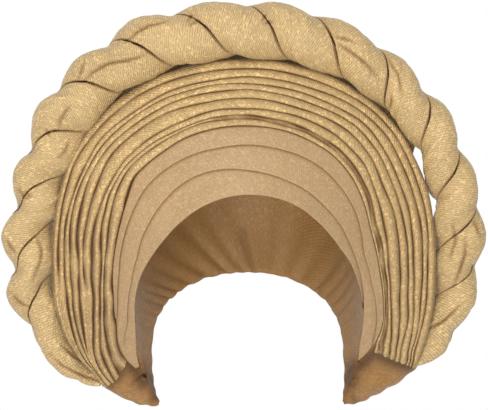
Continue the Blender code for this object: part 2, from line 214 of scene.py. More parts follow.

# %% [markdown]
# ## How a piece of cloth is laid
#
# Every piece starts as a flat grid, like cloth on a table. Each column of the grid is then laid
# along one section line of the real thing, so the threads keep following the folds. The UV map
# keeps the cloth's own metres, for the weave. A second mark, `shade`, says how much painted
# shade a point gets, deep in a crease or in a shadow: the material blends in a darker colour.

# %% Cloth helper
def laid_cloth(name, sections, shades=None, tube=False, capped=False, away_from=None):
    along, across = len(sections) - 1, len(sections[0]) - 1
    far = [0.0]
    for a, b in zip(sections, sections[1:]):
        steps = sorted((p - q).length for p, q in zip(a, b))
        far.append(far[-1] + steps[len(steps) // 2])
    wide = []
    for section in sections:
        line = [0.0]
        for p, q in zip(section, section[1:]):
            line.append(line[-1] + (q - p).length)
        wide.append(line)

    mesh = bmesh.new()
    bmesh.ops.create_grid(mesh, x_segments=along, y_segments=across, size=0.5)
    uv = mesh.loops.layers.uv.new("cloth")
    shade = mesh.verts.layers.float.new("shade")
    spot = {v: (round((v.co.x + 0.5) * along), round((v.co.y + 0.5) * across))
            for v in mesh.verts}
    for face in mesh.faces:
        face.smooth = True
        for loop in face.loops:
            i, j = spot[loop.vert]
            loop[uv].uv = (far[i], wide[i][j])
    for v, (i, j) in spot.items():
        v.co = sections[i][j]
        if shades is not None:
            v[shade] = shades[i][j]
    if tube:
        bmesh.ops.remove_doubles(mesh, verts=mesh.verts, dist=1e-6)
    if capped:
        bmesh.ops.holes_fill(mesh, edges=[e for e in mesh.edges if e.is_boundary])
    if tube or capped:
        bmesh.ops.recalc_face_normals(mesh, faces=mesh.faces)
        if mesh.calc_volume(signed=True) < 0:
            bmesh.ops.reverse_faces(mesh, faces=mesh.faces)
    elif away_from is not None:
        mesh.normal_update()
        facing = sum(f.normal.dot(f.calc_center_median() - away_from) > 0 for f in mesh.faces)
        if facing < len(mesh.faces) / 2:
            bmesh.ops.reverse_faces(mesh, faces=mesh.faces)
    data = bpy.data.meshes.new(name)
    mesh.to_mesh(data)
    mesh.free()
    piece = bpy.data.objects.new(name, data)
    bpy.context.scene.collection.objects.link(piece)
    print(name, len(data.polygons), "faces,", round(far[-1], 3), "m long")
    return piece


# %% [markdown]
# ## Creases
#
# The long creases are drawn as lines on the front, in pixels of the photo, with each line's
# depth in millimetres first. The cloth sinks along the line, puffs up a little beside it and
# gets the darker crease colour as painted shade. The crease runs out toward both ends of its line.

# %% Crease helper
PICTURE_MIDDLE = (247.0, 88.0)  # the pixel where the crown's inside is


def seen_line(spots):
    return [((x - PICTURE_MIDDLE[0]) * PIXEL, (PICTURE_MIDDLE[1] - y) * PIXEL) for x, y in spots]


def beside(line, x, z):
    """How far a point is from a crease, and how much of the crease's depth is left there."""
    best, share = 1.0, 0.0
    for k, ((x0, z0), (x1, z1)) in enumerate(zip(line, line[1:])):
        across, up = x1 - x0, z1 - z0
        t = min(max(((x - x0) * across + (z - z0) * up) / (across**2 + up**2), 0.0), 1.0)
        away = math.hypot(x - x0 - t * across, z - z0 - t * up)
        if away < best:
            best, share = away, (k + t) / (len(line) - 1)
    return best, math.sin(math.pi * min(max(share, 0.0), 1.0)) ** 0.6


def creased(piece, creases, width):
    marks = piece.data.attributes["shade"].data
    lines = []
    for depth, *spots in creases:
        line = seen_line(spots)
        lines.append((0.001 * depth, line, [pick(v) for pick in (min, max) for v in zip(*line)]))
    edge = 5 * width
    moves = []
    for v in piece.data.vertices:
        x, z, facing = v.co.x, v.co.z, ramp(0.1, 0.5, -v.normal.y)
        if facing == 0.0:
            continue
        for depth, line, (x0, z0, x1, z1) in lines:
            if x0 - edge < x < x1 + edge and z0 - edge < z < z1 + edge:
                away, left = beside(line, x, z)
                away /= width
                dent = math.exp(-away**2) - 0.5 * math.exp(-((away - 2.6) / 1.5) ** 2)
                moves.append((v.index, v.normal * (-facing * left * depth * dent)))
                # Painted shade along the crease, on the sides that face the front.
                mark = marks[v.index]
                mark.value = max(mark.value, facing * left * math.exp(-0.8 * away**2))
    for index, move in moves:
        piece.data.vertices[index].co += move
    print(piece.name, "points in creases:", len(moves))


# %% [markdown]
# ## The cap
#
# The cap is a fitted shell of plain satin, the wrong side of the cloth. It shows inside and as
# two darker corners below the pleats: the satin's colour is partly painted shade, and painted
# shadows lie where the corners come out from under the folds. Each line of its grid runs from
# the edge round the face, over the crown or the side of the head, to the free edge at the nape.
# Where a point would come in front of the folds it is moved back. Solidify gives the wall.

# %% Cap
NAPE = (
    (-0.655, 0.345, 1.346),
    (-0.611, 0.350, 1.377),
    (-0.543, 0.345, 1.412),
    (-0.483, 0.330, 1.434),
    (-0.407, 0.315, 1.441),
    (-0.428, 0.300, 1.390),
    (-0.441, 0.288, 1.310),
    (-0.446, 0.280, 1.220),
    (-0.442, 0.283, 1.130),
    (-0.425, 0.300, 1.050),
    (-0.375, 0.350, 0.970),
    (-0.290, 0.418, 0.905),
    (-0.190, 0.470, 0.862),
    (-0.090, 0.498, 0.842),
    (0.0, 0.504, 0.838),
    (0.090, 0.498, 0.842),
    (0.190, 0.470, 0.862),
    (0.290, 0.418, 0.905),
    (0.375, 0.350, 0.970),
    (0.425, 0.300, 1.050),
    (0.446, 0.280, 1.130),
    (0.452, 0.273, 1.220),
    (0.456, 0.275, 1.310),
    (0.452, 0.285, 1.380),
    (0.444, 0.300, 1.434),
    (0.510, 0.320, 1.425),
    (0.585, 0.333, 1.388),
    (0.677, 0.340, 1.339),
    (0.764, 0.335, 1.264),
)
CAP_EDGE_ENDS = (-119.5, 109.5)
# Where a line over the cap starts on the face edge, for its place along the free edge
CAP_LINES = (
    (0.0, -119.5),
    (0.17, -106.0),
    (0.33, -78.0),
    (0.5, -3.0),
    (0.67, 72.0),
    (0.83, 99.0),
    (1.0, 117.5),
)
CROWN_PULL = 1.2
FACE_TUCK = 0.002  # how far the cap's first ring lies outside the face edge
GATHER_DEPTH = 0.0006
GATHER_TURNS = 260
CLEAR_WIDTH = 0.012  # a point further inside the face edge than this isn't moved back
COVERED = (-122, 118.5)  # the angles that the folds and the halo cover
CENTRE = Vector((0.0, 0.0, -CROWN_DROP))
CAP_SEMI = (HEAD_WIDTH / 2 + CAP_WALL, HEAD_LENGTH / 2 + CAP_WALL, CROWN_DROP + CAP_WALL)
CAP_COLUMNS = 330
CAP_RINGS = 60


def cap_reach(direction):
    across, along, up = (d / s for d, s in zip(direction, CAP_SEMI))
    return 1 / math.sqrt(across**2 + along**2 + (up**2 if up > 0 else 0.0))


def cap_radius(angle, depth):
    low, high = 0.0, 2 * HEAD_WIDTH
    for _ in range(40):
        middle = (low + high) / 2
        offset = ring_point(angle, middle, depth) - CENTRE
        inside = offset.length < cap_reach(offset.normalized())
        low, high = (middle, high) if inside else (low, middle)
    return low


def cap_corner(angle):
    row = ring_row(angle)
    behind = FOLD_THICKNESS + 2 * HALO_WALL + 2 * GAP
    points = []
    for share in (0.3, 0.6):
        radius = row["face"] + share * (row["rim"] - row["face"])
        points.append(ring_point(angle, radius, base_depth(angle, row, radius) + behind))
    return points


def resampled(line, count):
    lengths = [0.0]
    for a, b in zip(line, line[1:]):
        lengths.append(lengths[-1] + (b - a).length)
    points = []
    for i in range(count + 1):
        at = lengths[-1] * i / count
        k = min(max(j for j in range(len(line)) if lengths[j] <= at + 1e-9), len(line) - 2)
        t = (at - lengths[k]) / (lengths[k + 1] - lengths[k])
        points.append(line[k].lerp(line[k + 1], t))
    return points


def kept_behind(point):
    """Moves a point of the cap back where the folds and the halo would otherwise be behind it."""
    angle, radius = polar(point)
    row = ring_row(angle)
    past_end = radius * math.radians(max(angle - COVERED[1], COVERED[0] - angle, 0.0))
    short = max(row["face"] - radius, 0.0) + past_end
    if radius < row["rim"] and short < CLEAR_WIDTH:
        within = max(radius, row["face"])
        limit = base_depth(angle, row, within) + FOLD_THICKNESS + 4 * GAP - short
        point.y = max(point.y, limit)
    return point


def cap_line(share, free):
    angle = smooth(CAP_LINES, 0, share)[1]
    depth = face_depth(angle) + FOLD_THICKNESS + GAP
    tucked = max(cap_radius(angle, depth), ring_row(angle)["face"] + FACE_TUCK)
    start = ring_point(angle, tucked, depth) - CENTRE
    end = free - CENTRE
    turn = math.radians(0.8 * angle)
    near, far = start.normalized(), end.normalized()
    pull = CROWN_PULL * (1 - near.dot(far)) / 2
    crown = (near + far + pull * Vector((math.sin(turn), 0.0, math.cos(turn)))).normalized()
    stretch = (start.length / cap_reach(near), end.length / cap_reach(far))
    points = []
    for ring in range(CAP_RINGS + 1):
        t = ring / CAP_RINGS
        direction = (near * (1 - t) ** 2 + crown * (2 * t * (1 - t)) + far * t**2).normalized()
        blend = t * t * (3 - 2 * t)
        reach = cap_reach(direction) * (stretch[0] + blend * (stretch[1] - stretch[0]))
        gather = ramp(0.55, 1.0, t) * math.sin(GATHER_TURNS * share + 2 * math.sin(40 * share))
        gather *= ramp(0.5, 0.3, abs(share - 0.5))
        points.append(kept_behind(CENTRE + direction * (reach - GATHER_DEPTH * (1 + gather))))
    return points


# The lines that the corners come out from, along which a painted shadow lies: width in pixels,
# strength, line
PAINTED_CORNER_SHADOWS = (
    (7, 0.75, ((110, 384), (127, 363))),
    (9, 1.0, ((127, 363), (136, 369), (143, 382))),
    (5, 0.8, ((146, 382), (150, 386), (153, 399))),
    (8, 1.0, ((351, 384), (354, 370), (374, 352))),
    (7, 0.9, ((374, 352), (390, 360), (410, 367))),
    (4, 0.6, ((344, 404), (348, 390), (357, 402))),
)
CAP_CREASE_WIDTH = 0.0026
CAP_CREASES = (
    (0.9, (128, 372), (137, 385), (147, 402)),
    (0.7, (117, 381), (126, 392), (133, 404)),
    (0.9, (360, 372), (353, 388), (358, 404)),
    (0.7, (372, 362), (374, 382), (384, 394)),
    (0.6, (390, 364), (396, 376), (404, 381)),
)


def painted_cap_shade(point):
    """How much darker a point of the cap is painted: a fixed amount over the back half, and painted
    shadow darkest where a corner comes out from under the folds.
    """
    dark = 0.35 * (point.y > 0.5 * HEAD_LENGTH)
    for size, strength, spots in PAINTED_CORNER_SHADOWS:
        away = beside(seen_line(spots), point.x, point.z)[0]
        dark = max(dark, strength * math.exp(-(away / (size * PIXEL)) ** 2))
    return dark


nape = [Vector((x * HEAD_WIDTH, y * HEAD_LENGTH, -z * HEAD_WIDTH)) for x, y, z in NAPE]
free_edge = cap_corner(CAP_EDGE_ENDS[0]) + nape + cap_corner(CAP_EDGE_ENDS[1])[::-1]
free_edge = resampled(free_edge, CAP_COLUMNS)
cap_lines = [cap_line(i / CAP_COLUMNS, point) for i, point in enumerate(free_edge)]
cap = laid_cloth("cap_cloth", cap_lines, [[painted_cap_shade(p) for p in line] for line in cap_lines],
                 away_from=CENTRE)
creased(cap, CAP_CREASES, CAP_CREASE_WIDTH)
wall = cap.modifiers.new("wall", "SOLIDIFY")
wall.thickness = CAP_WALL * 0.9
wall.offset = -1

# %% [markdown]
# ## The three front folds
#
# Each fold is a band of cloth folded in two, with its rounded edge toward the face and lying on
# the next fold in. The grid goes round the band: over the front, round the edge and back
# behind it. The photo shows each edge as a fine dark line with a light one beside it.

# %% Front folds
FOLD_ENDS = {"inner": (-122.0, 91.0), "middle": (-110.5, 118.5), "outer": (-98.0, 109.0)}
FOLD_SHARES = (0.0, 0.012, 0.03, 0.06, 0.11, 0.18, 0.27, 0.38, 0.5, 0.62, 0.74, 0.86, 1.0)


def fold_line(angle, inner, outer, cover, seed):
    row = ring_row(angle)
    start, end = row[inner], row[outer]
    if inner == "face":
        end += ramp(-104, -112, angle) * (row["fold_a"] - end)
    width = max(end - start, 2 * GAP)
    tuck = 0.0 if cover is None else 0.5 * max(row[cover] - end, 0.0)
    tuck = min(tuck, 2 * FOLD_THICKNESS)
    front, marks = [], []
    for share in FOLD_SHARES:
        nose = 0.42 * math.sqrt(max(0.0, 1 - (1 - min(share / 0.06, 1.0)) ** 2))
        lift = 0.53 + nose if share < 0.06 else 0.95 * (1 - (share - 0.06) / 0.94)
        slack = 0.10 * drift(seed, angle / 14, 3 * share) * math.sin(math.pi * share)
        front.append((start + share * width, -(lift + slack) * FOLD_STEP))
        # Painted shade near the band's outer end, where the next fold lies over it.
        marks.append(ramp(0.93, 1.0, share) * 0.55)
    if cover is not None:
        over = max(row[cover] - end, GAP)
        front.append((end + tuck, FOLD_STEP * tuck / over))
    else:
        front[-1] = (end - 0.3 * GAP, 0.0)
        front.append((end - 0.3 * GAP, 0.3 * FOLD_THICKNESS))
    # Painted shade: full at the tucked end, and 0.6 on the back and under the nose.
    marks.append(1.0)
    back = [(radius, lift + FOLD_THICKNESS) for radius, lift in front[:2:-1]]
    nose_back = -0.12 * FOLD_STEP
    line = front + back + [(start + 0.02 * width, nose_back + 0.0002), (start, nose_back), front[0]]
    marks += [0.6] * (len(line) - len(marks))
    return [ring_point(angle, r, base_depth(angle, row, r) + lift) for r, lift in line], marks


folds = []
for seed, (part, inner, outer, cover) in enumerate((("inner", "face", "fold_c", "fold_b"),
                                                    ("middle", "fold_c", "fold_b", "fold_a"),
                                                    ("outer", "fold_b", "fold_a", None))):
    lines = [fold_line(angle, inner, outer, cover, seed) for angle in spread(FOLD_ENDS[part], 1.0)]
    folds.append(laid_cloth("fold_" + part, [p for p, _ in lines], [m for _, m in lines],
                            tube=True, capped=True))

# %% [markdown]
# ## The pleated halo
#
# Nine rounded ribs fan out from the folds to the rim. One section runs over all the ribs,
# round the rim and back down the plain side. Some grooves fade out on their way, two join on
# the right, and the ribs run together at the lower left, as pleats do where they are tied.

# %% Halo
HALO_ENDS = (-121.0, 111.0)
LIP_BACK = 0.017
LIP_OUT = 0.010
LIP_MIDDLE = 4.0
LIP_SPAN = 52.0
FOOT_FRONT = FOLD_THICKNESS + 0.5 * FOLD_STEP + GAP
GROOVE_DROP = 0.0009
GROOVE_WANDER = 0.0004
WIDE_GROOVE = 0.0006  # on each side of the innermost groove, which gapes on the right
LEFT_SHIFT = 0.0013
END_HOOK = 0.0018
HALO_STEP = 0.8
BACK_STEPS = 25
RIB_SHARES = (0.0, 0.05, 0.13, 0.24, 0.37, 0.5, 0.63, 0.76, 0.87, 0.95)
FADES = {"g1": (-89, -78), "g5": (-91, -80), "g4": (-113, -106)}


def groove_strength(name, angle):
    return ramp(*FADES[name], angle) if name in FADES else 1.0


def rib_edges(angle, row):
    """The radii where one rib meets the next, from the folds out to the rim."""
    edges = [row["fold_a"] + 0.3 * GAP]
    for seed, name in enumerate(COLUMNS[4:]):
        wander = GROOVE_WANDER * drift(seed, angle / 9) if name != "rim" else 0.0
        edges.append(row[name] + wander)
    return edges


def shifted_edges(angle, edges):
    """The same radii with the photo's odd places: the wide groove, a shift, the hooked ends."""
    opened = WIDE_GROOVE * ramp(-14, -6, angle)
    shift = LEFT_SHIFT * ramp(-55, -49, angle) * ramp(-38, -44, angle)
    hook = END_HOOK * ramp(106.5, 110.8, angle) ** 2
    edges = [edges[0] + shift, edges[1] - opened, edges[2] + opened, *edges[3:]]
    return [edge + hook * (edge < edges[-1]) for edge in edges]


def halo_foot(angle, row, start):
    """Where the halo's inner edge is tucked in: two radii, one for each side, and a depth."""
    depth = base_depth(angle, row, start) + FOOT_FRONT + 0.035 * HEAD_LENGTH
    short = max(0.0, min(1.0, (abs(angle) - 95.0) / 10.0))
    radii = []
    for side_depth in (depth, depth + HALO_WALL):
        radius = min(cap_radius(angle, side_depth) + 3 * GAP, start - HALO_WALL)
        radii.append(radius + short * (start - HALO_WALL - radius))
    return radii, depth


def rib_points(angle, row, edges):
    """The ribs of one section, as radius, depth and the painted shade of the groove at each point."""
    strengths = [groove_strength(name, angle) for name in COLUMNS[4:-1]]
    strengths = [1.0] + strengths + [1.0]
    steep = ramp(30, 75, -angle) + 0.6 * ramp(30, 75, angle)
    sunk = ramp(-15, -7, angle)
    # How strong the grooves' painted shade is: more on the left.
    groove_shade_scale = 0.8 + 0.2 * ramp(30, 75, -angle)
    points = []
    for rib, (inner, outer) in enumerate(zip(edges, edges[1:])):
        width = max(outer - inner, GAP)
        tall = RIB_HEIGHT * min(width, 0.05 * HEAD_WIDTH) * (1 + 0.08 * drift(20 + rib, angle / 16))
        for share in RIB_SHARES:
            dome = (1 - abs(2 * share - 1) ** 2.2) ** 0.5
            dome += 0.75 * steep * (math.sin(math.pi * share) - dome)
            fill = (1 - strengths[rib]) * (1 - share) + (1 - strengths[rib + 1]) * share
            lift = dome + (1 - dome) * fill
            if rib == 1:
                lift *= 1 - 0.85 * sunk
            uneven = 1 + 0.5 * drift(40 + rib + (share > 0.5), angle / 7)
            drop = GROOVE_DROP * (1 + 1.6 * steep) * uneven * (1 - lift) ** 3
            radius = inner + share * width
            depth = base_depth(angle, row, radius) - lift * tall + drop
            # Painted shade: darker deep in each groove, stronger on the left and on the sunk rib.
            mark = groove_shade_scale * uneven * (1 - lift) ** (1.1 - 0.7 * steep)
            points.append((radius, depth, min(1.0, mark)))
    return points


def rim_and_back(angle, row, start):
    """Round the rim, back under the braid, and down the plain side."""
    rim, rim_depth = row["rim"], base_depth(angle, row, row["rim"])
    top = max(0.0, min(1.0, (LIP_SPAN - abs(angle - LIP_MIDDLE)) / 10.0))
    back_by = HALO_WALL + top * LIP_BACK
    out = LIP_OUT * max(0.0, (top - 0.75) / 0.25)
    # The third value is painted shade: more at the rim's edge, a little on the lip and the plain
    # back.
    points = [(rim, rim_depth, 0.4),
              (rim, rim_depth + back_by, 0.1),
              (rim + out + GAP, rim_depth + back_by + GAP, 0.1),
              (rim + out, rim_depth + back_by + HALO_WALL, 0.1),
              (rim - HALO_WALL, rim_depth + back_by + 0.5 * HALO_WALL, 0.5)]
    for step in range(BACK_STEPS - 1, 2, -1):
        radius = start + step / BACK_STEPS * (rim - start)
        gather = 0.0006 * math.sin(0.55 * angle + 6 * math.sin(step / 9))
        gather *= math.sin(math.pi * step / BACK_STEPS)
        depth = base_depth(angle, row, radius) + HALO_WALL + max(0.0, gather)
        points.append((radius, depth, 0.1))
    return points


def halo_line(angle):
    row = ring_row(angle)
    edges = rib_edges(angle, row)
    start = edges[0]
    foot, foot_depth = halo_foot(angle, row, start)
    # Painted shade: full on the foot tucked in under the folds, less on its back side.
    line = [(foot[0], foot_depth, 1.0), (start, base_depth(angle, row, start) + FOOT_FRONT, 1.0)]
    line += rib_points(angle, row, shifted_edges(angle, edges))
    line += rim_and_back(angle, row, start)
    line += [(foot[1], foot_depth + HALO_WALL, 0.6), line[0]]
    left_end, right_end = ramp(-113, -121, angle), ramp(109.2, 111, angle)
    points = []
    for r, depth, mark in line:
        turned = angle + left_end * (4.0 * ramp(start + 0.018, start, r) - 1.0)
        points.append(ring_point(turned + right_end * 1.7 * (1 - mark), r, depth))
    return points, [mark for _, _, mark in line]


lines = [halo_line(angle) for angle in spread(HALO_ENDS, HALO_STEP)]
halo = laid_cloth("halo_pleats", [p for p, _ in lines], [m for _, m in lines],
                  tube=True, capped=True)

# %% [markdown]
# ## The braid
#
# What looks like a plait is a rope of two stuffed rolls with eight turns. Each roll fills half
# of the rope's circle and turns with the twist, and it leans a little so that the creases
# slant. The first table gives one row for each crease in the photo. Two more tables give the
# outline of the lobes, outside and along the halo's rim, and the finished sections are drawn
# in or out to meet them. Then each roll is pumped up as cloth, which tightens it and presses it
# a little way into its neighbours.

# %% Braid
BRAID = (
    (-0.34, -119.5, 0.768, 0.022, 2.60),
    (-0.22, -112.0, 0.829, 0.078, 1.30),
    (0, -97.2, 0.911, 0.108, 1.12),
    (1, -82.6, 0.989, 0.122, 0.82),
    (2, -68.1, 1.046, 0.127, 0.72),
    (3, -55.3, 1.112, 0.124, 0.54),
    (4, -42.5, 1.184, 0.125, -0.05),
    (5, -29.4, 1.217, 0.134, -0.10),
    (6, -15.6, 1.226, 0.134, -0.10),
    (7, -1.4, 1.219, 0.130, -0.10),
    (8, 11.5, 1.214, 0.127, -0.10),
    (9, 25.4, 1.197, 0.122, -0.10),
    (10, 38.0, 1.171, 0.115, -0.04),
    (11, 51.6, 1.115, 0.112, 0.12),
    (12, 64.8, 1.049, 0.115, 0.40),
    (13, 78.6, 0.979, 0.118, 0.69),
    (14, 95.5, 0.900, 0.098, 1.11),
    (14.04, 105.4, 0.847, 0.070, 1.46),
    (14.06, 111.5, 0.817, 0.022, 2.20),
)
# The braid's outer edge: the notches where two lobes meet and the bumps between them
OUTER_EDGE = (
    (-121.0, 0.775),
    (-115.0, 0.862),
    (-110.0, 0.932),
    (-103.0, 0.972),
    (-96.7, 0.994),
    (-88.0, 1.097),
    (-82.0, 1.052),
    (-74.6, 1.152),
    (-67.7, 1.115),
    (-59.8, 1.206),
    (-54.7, 1.183),
    (-46.4, 1.292),
    (-41.7, 1.270),
    (-34.8, 1.338),
    (-28.7, 1.306),
    (-22.0, 1.371),
    (-14.6, 1.326),
    (-8.3, 1.358),
    (0.0, 1.326),
    (5.8, 1.354),
    (12.7, 1.316),
    (18.3, 1.336),
    (27.0, 1.284),
    (32.0, 1.300),
    (40.0, 1.228),
    (45.0, 1.255),
    (54.0, 1.172),
    (59.0, 1.183),
    (67.5, 1.122),
    (73.0, 1.130),
    (81.0, 1.046),
    (88.0, 1.052),
    (98.0, 0.960),
    (102.5, 0.952),
    (111.7, 0.828),
)
# Its inner edge, counted outward from the halo's rim, again notches and bumps
INNER_EDGE = (
    (-121.0, -0.030),
    (-92.0, -0.030),
    (-84.5, -0.014),
    (-76.0, -0.030),
    (-68.0, -0.014),
    (-61.0, -0.028),
    (-55.5, -0.020),
    (-49.5, -0.034),
    (-44.0, -0.026),
    (-37.0, -0.012),
    (-30.0, 0.006),
    (-23.0, -0.012),
    (-16.5, 0.006),
    (-9.5, -0.014),
    (-3.0, 0.005),
    (3.5, -0.014),
    (10.5, 0.003),
    (17.0, -0.016),
    (24.0, 0.006),
    (30.0, -0.012),
    (36.0, 0.008),
    (43.0, -0.006),
    (49.0, 0.030),
    (57.0, -0.010),
    (62.0, 0.022),
    (66.7, -0.014),
    (74.0, -0.010),
    (84.0, -0.020),
    (93.0, -0.020),
    (97.0, -0.020),
    (101.0, -0.020),
    (112.0, -0.030),
)
ROLL_DEPTH = 0.97  # of one roll, from the plane where the rolls meet to its crown
ROLL_HALF_WIDTH = 0.74
ROLL_WIDEST = 0.08  # how far over that plane the roll is widest
CROWN_SQUARENESS = 2.05
MEETING_SQUARENESS = 3.3
MEETING_WAVE = 0.0012  # the two rolls are pressed into each other along an S
ROLL_LEAN = 0.27
ROLL_LEAN_RISE = 0.0026
LEFT_LEAN_LESS = 0.42
RIGHT_LEAN_LESS = 0.18
TOP_INSET = 0.0014  # the top is nearer to the camera than the rest, and looks larger
ROLL_STEP = 0.6
ROLL_SIDES = 58
SWELL_STEPS = 20
SWELL_PRESSURE = 4.0
SWELL_STRETCH = 0.03
SWELL_LIMIT = 0.0015


def roll_line(angle, side):
    turns, _, centre, radius, behind = smooth(BRAID, 1, angle)
    centre, radius = centre * HEAD_WIDTH, radius * HEAD_WIDTH
    row = ring_row(angle)
    depth = base_depth(angle, row, row["rim"]) + behind * radius
    twist = math.pi * (turns + 0.5 * side)
    outward = Vector((math.sin(math.radians(angle)), 0.0, math.cos(math.radians(angle))))
    forward = Vector((0.0, -1.0, 0.0))
    clockwise = Vector((outward.z, 0.0, -outward.x))
    less = LEFT_LEAN_LESS * ramp(-30, -65, angle) + RIGHT_LEAN_LESS * ramp(68, 82, angle)
    leant = outward + clockwise * (ROLL_LEAN + ROLL_LEAN_RISE * angle - less)
    toward = leant * math.cos(twist) + forward * math.sin(twist)
    across = forward * math.cos(twist) - leant * math.sin(twist)
    middle = ring_point(angle, centre, depth)
    points, marks = [], []
    for i in range(ROLL_SIDES + 1):
        turn = 2 * math.pi * (i % ROLL_SIDES) / ROLL_SIDES
        c, s = math.cos(turn), math.sin(turn)
        power = CROWN_SQUARENESS if c > 0 else MEETING_SQUARENESS
        bulge = (abs(c) ** power + abs(s) ** power) ** (-1 / power)
        bulge *= 1 + 0.035 * ramp(-0.1, 0.5, c) * drift(31 + side, 2.2 * turn, 1.1 * turns)
        side_depth = ROLL_DEPTH - ROLL_WIDEST if c > 0 else ROLL_WIDEST
        wave = min(MEETING_WAVE, 0.1 * radius) * math.sin(math.pi * s * bulge) * ramp(0.6, -0.1, c)
        reach = 0.3 * GAP + wave + radius * (ROLL_WIDEST + side_depth * c * bulge)
        points.append(middle + toward * reach + across * (radius * ROLL_HALF_WIDTH * s * bulge))
        # Painted shade, growing toward the plane where the two rolls meet, deepest in the crease
        # between them.
        marks.append(0.14 * ramp(0.65, -0.1, c) + 0.42 * ramp(0.05, -0.45, c))
    return points, marks


def edge_at(rows, angle, round_side):
    """A line through notches and bumps. It's sharp at the notches and round at the bumps."""
    angle = min(max(angle, rows[0][0]), rows[-1][0])
    i = max(k for k in range(len(rows) - 1) if rows[k][0] <= angle)
    (a0, r0), (a1, r1) = rows[i], rows[i + 1]
    t = (angle - a0) / (a1 - a0)
    rising = (r1 - r0) * round_side > 0
    return r0 + (r1 - r0) * (1 - (1 - t) ** 1.7 if rising else t ** 1.7)


def found_edge(lines, pick):
    """The furthest or the nearest radius of all the points, for each whole degree."""
    found = {}
    for points in lines:
        for point in points:
            angle, radius = polar(point)
            found[round(angle)] = pick(found.get(round(angle), radius), radius)
    return found


def between_degrees(found, angle):
    low = math.floor(angle)
    a = found.get(low, found.get(low + 1))
    b = found.get(low + 1, a)
    return a + (b - a) * (angle - low)


def pulled(point, far, near):
    """Moves a point in or out, so that both edges of the braid follow their tables."""
    angle, radius = polar(point)
    middle = HEAD_WIDTH * smooth(BRAID, 1, angle)[2]
    if radius > middle:
        found = between_degrees(far, angle)
        wanted = HEAD_WIDTH * edge_at(OUTER_EDGE, angle, 1) - 0.8 * SWELL_LIMIT
        wanted -= TOP_INSET * ramp(65, 30, abs(angle))
    else:
        found = between_degrees(near, angle)
        wanted = ring_row(angle)["rim"] + HEAD_WIDTH * edge_at(INNER_EDGE, angle, -1)
    factor = min(max((wanted - middle) / (found - middle), 0.6), 1.9)
    radius = middle + (radius - middle) * factor
    return ring_point(angle, radius, point.y)


rolls = []
stations = spread((BRAID[0][1], BRAID[-1][1]), ROLL_STEP)
sides = {letter: [roll_line(angle, side) for angle in stations]
         for letter, side in (("a", 1), ("b", -1))}
both = [points for lines in sides.values() for points, _ in lines]
far, near = found_edge(both, max), found_edge(both, min)
for letter, lines in sides.items():
    sections = [[pulled(point, far, near) for point in points] for points, _ in lines]
    rolls.append(laid_cloth("roll_" + letter, sections, [m for _, m in lines],
                            tube=True, capped=True))


def swell(piece):
    """Pumps the roll up as wadding does. No point moves further than SWELL_LIMIT."""
    start = [v.co.copy() for v in piece.data.vertices]
    cloth = piece.modifiers.new("swell", "CLOTH")
    cloth.settings.use_pressure = True
    cloth.settings.uniform_pressure_force = SWELL_PRESSURE
    cloth.settings.effector_weights.gravity = 0
    cloth.settings.shrink_min = -SWELL_STRETCH
    cloth.point_cache.frame_start, cloth.point_cache.frame_end = 1, SWELL_STEPS
    for step in range(1, SWELL_STEPS + 1):
        bpy.context.scene.frame_set(step)
    swollen = piece.evaluated_get(bpy.context.evaluated_depsgraph_get())
    moved = [v.co.copy() for v in swollen.data.vertices]
    piece.modifiers.remove(cloth)
    bpy.context.scene.frame_set(1)
    far = 0.0
    for v, old, new in zip(piece.data.vertices, start, moved):
        step = new - old
        far = max(far, step.length)
        v.co = old + step * min(1.0, SWELL_LIMIT / max(step.length, 1e-9))
    print(piece.name, "swelled by up to", round(1000 * far, 1), "mm before the limit")


# %% [markdown]
# ## Creases in the lobes
#
# A lobe of the braid isn't a smooth balloon: the cloth is gathered in it, and the photo shows
# where the longer creases run. The short ones are wrinkles beside the twist.

# %% Creases in the lobes
CREASE_WIDTH = 0.0010
CREASES = (
    (1.1, (57.5, 131), (62, 121), (67, 112), (73.7, 105)),
    (2.0, (82, 85), (94, 73.5), (110, 65), (136, 60.5), (152, 53)),
    (0.6, (79, 84), (82, 73), (86, 60)),
    (1.8, (124, 46), (138, 33), (150, 27), (171, 22)),
    (1.8, (332, 43), (347, 52), (363, 64), (381, 82)),
    (0.8, (332, 38), (344, 40), (356, 45)),
    (1.7, (465, 235), (465, 255), (460, 272), (453, 288)),
    (0.7, (452, 218), (455, 240), (449, 262)),
    (1.6, (37, 236), (42, 250), (41, 261), (33, 282)),
    (1.3, (10, 292), (16, 301), (23, 306), (32, 307)),
    (1.7, (463, 304), (445, 321), (428, 330)),
    (0.8, (472, 218), (477, 228), (481, 238)),
    (0.8, (60, 345), (72, 357), (88, 367)),
    (0.9, (45, 352), (62, 368), (84, 378), (106, 385)),
    (0.6, (58, 160), (66, 152), (71, 138)),
    (0.7, (386, 58), (397, 76), (401, 98)),
    (0.8, (189, 28), (195, 24), (201, 23)),
    (0.6, (187, 25), (191, 20), (193, 15)),
    (0.8, (262, 27), (268, 24), (274, 23)),
    (0.6, (261, 25), (264, 20), (266, 14)),
    (0.8, (17, 188), (24, 196), (30, 200)),
    (0.6, (24, 190), (29, 195), (33, 197)),
    (0.8, (6, 239), (10, 247), (16, 254)),
    (0.7, (45, 128), (49, 133), (52, 138)),
    (0.7, (395, 157), (400, 163), (404, 165)),
    (0.9, (405, 160), (410, 168), (412, 180)),
    (0.7, (410, 156), (416, 165), (418, 175)),
    (0.6, (389, 96), (390, 103), (388, 111)),
    (0.8, (397, 190), (404, 197), (407, 206)),
)


def subdivided(piece):
    finer = piece.modifiers.new("finer", "SUBSURF")
    finer.levels = finer.render_levels = 1
    smooth_piece = piece.evaluated_get(bpy.context.evaluated_depsgraph_get())
    piece.data = bpy.data.meshes.new_from_object(smooth_piece)
    piece.modifiers.remove(finer)


for roll in rolls:
    swell(roll)
    subdivided(roll)
    creased(roll, CREASES, CREASE_WIDTH)

